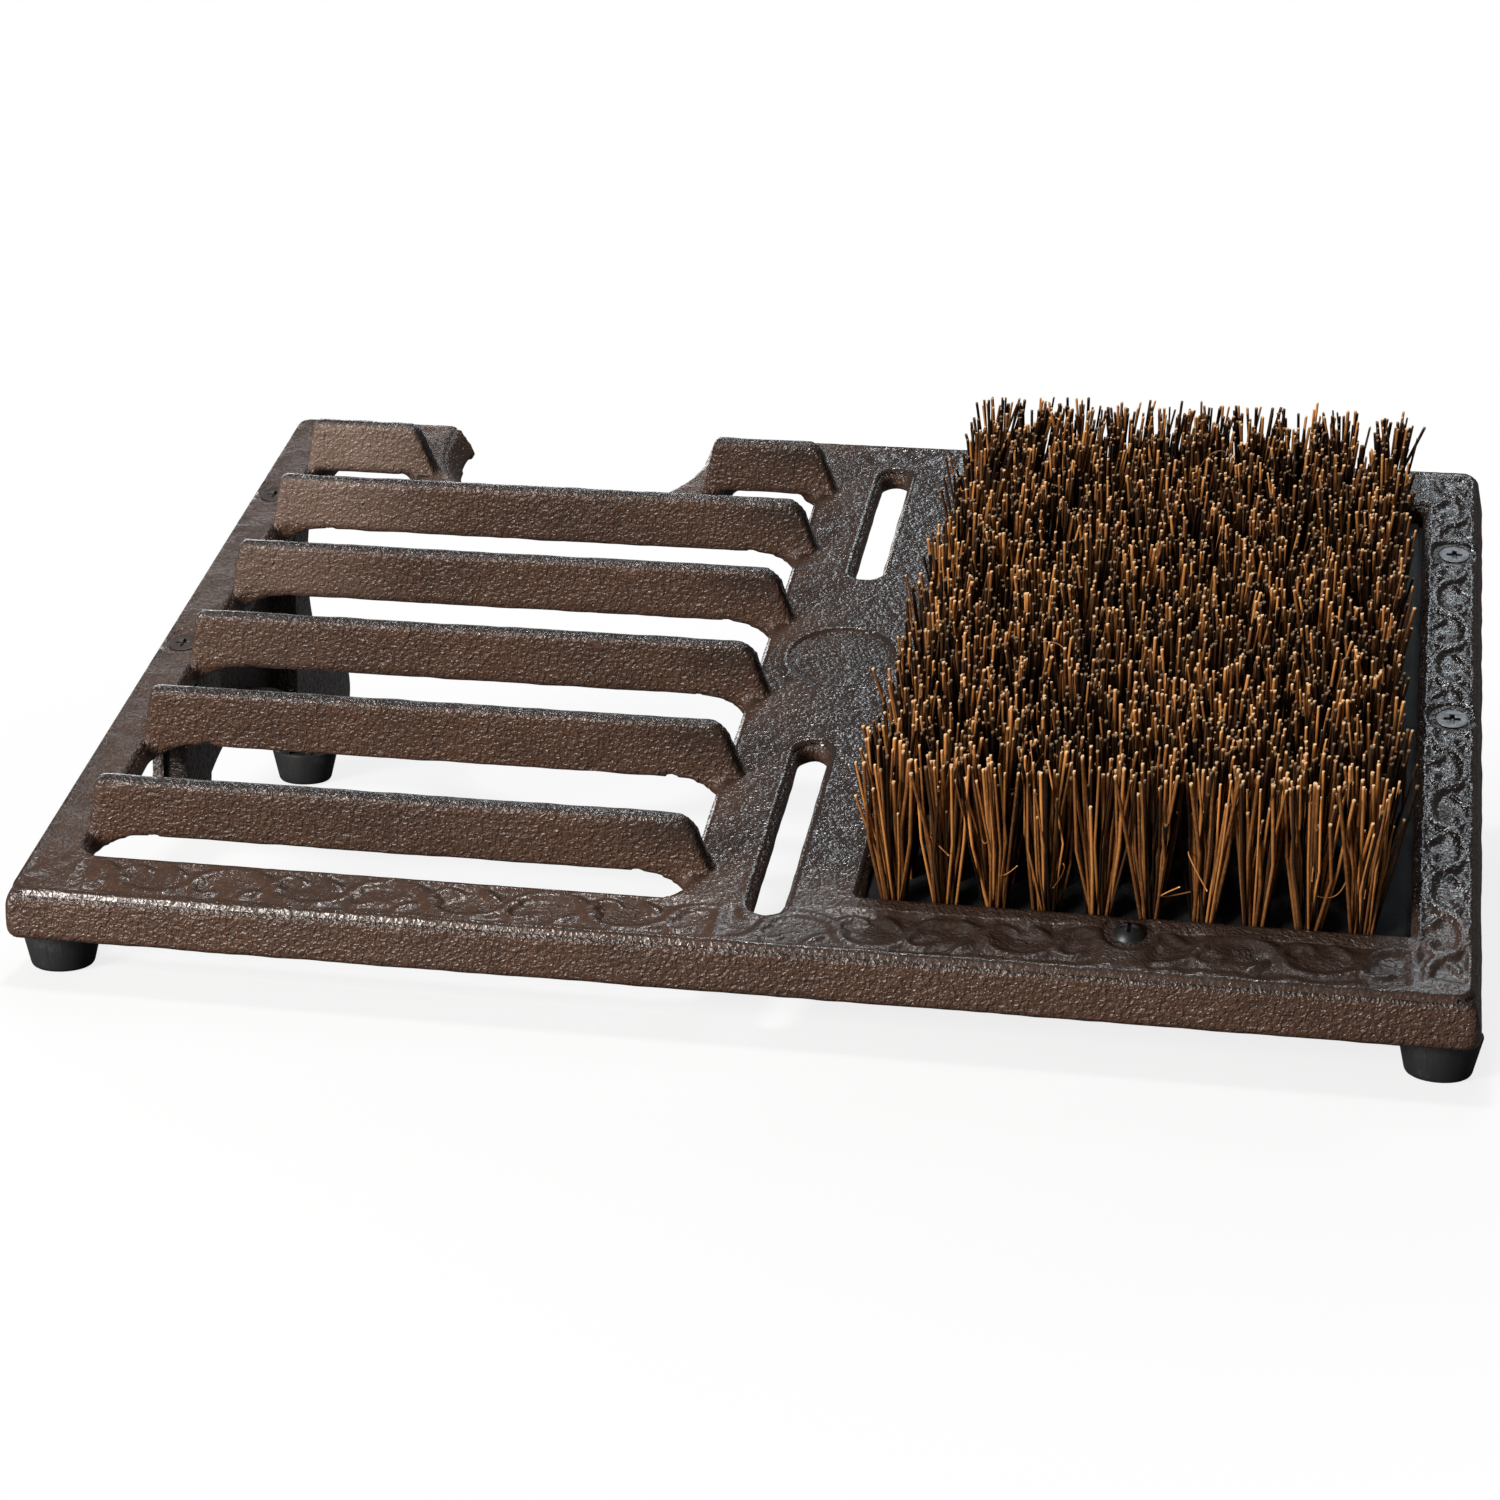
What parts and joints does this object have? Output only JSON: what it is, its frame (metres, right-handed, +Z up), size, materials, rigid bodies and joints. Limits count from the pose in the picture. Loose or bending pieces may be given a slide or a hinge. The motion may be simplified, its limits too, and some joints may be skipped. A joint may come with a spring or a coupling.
{
  "type": "boot_scraper",
  "caption": "Sloping cast iron boot scraper with scraper bars, a boot jack notch and a stiff bristle brush, standing on rubber feet",
  "frame": {"origin": "Middle of the object's box on the floor, under its four feet", "axes": "X to the right along the front edge, Y to the back, where the plate is higher, Z up"},
  "size_m": [0.376, 0.2464, 0.1352],
  "materials": {
    "painted_iron": "dark brown hammered paint over sand-cast iron, worn grey on the edges",
    "brush_board": "matt black board",
    "bristle_fibre": "stiff plant fibre, golden brown mixed with near-black",
    "foot_rubber": "matt black rubber",
    "zinc_steel": "bright zinc",
    "brown_steel": "brown paint",
    "black_steel": "black oxide"
  },
  "bodies": {
    "root": {"plate": "painted_iron", "brush_block": "brush_board", "bristles": "bristle_fibre", "scraper_bar_1": "painted_iron", "scraper_bar_2": "painted_iron", "scraper_bar_3": "painted_iron", "scraper_bar_4": "painted_iron", "scraper_bar_5": "painted_iron", "jack_bar_left": "painted_iron", "leg_left": "painted_iron", "foot_front_left": "foot_rubber", "foot_screw_front_left": "zinc_steel", "leg_screw_left_front": "brown_steel", "foot_rear_left": "foot_rubber", "foot_screw_rear_left": "zinc_steel", "leg_screw_left_rear": "brown_steel", "jack_bar_right": "painted_iron", "leg_right": "painted_iron", "foot_front_right": "foot_rubber", "foot_screw_front_right": "zinc_steel", "leg_screw_right_front": "zinc_steel", "foot_rear_right": "foot_rubber", "foot_screw_rear_right": "zinc_steel", "leg_screw_right_rear": "zinc_steel", "brush_screw_front": "black_steel", "brush_screw_rear": "black_steel"}
  },
  "joints": []
}
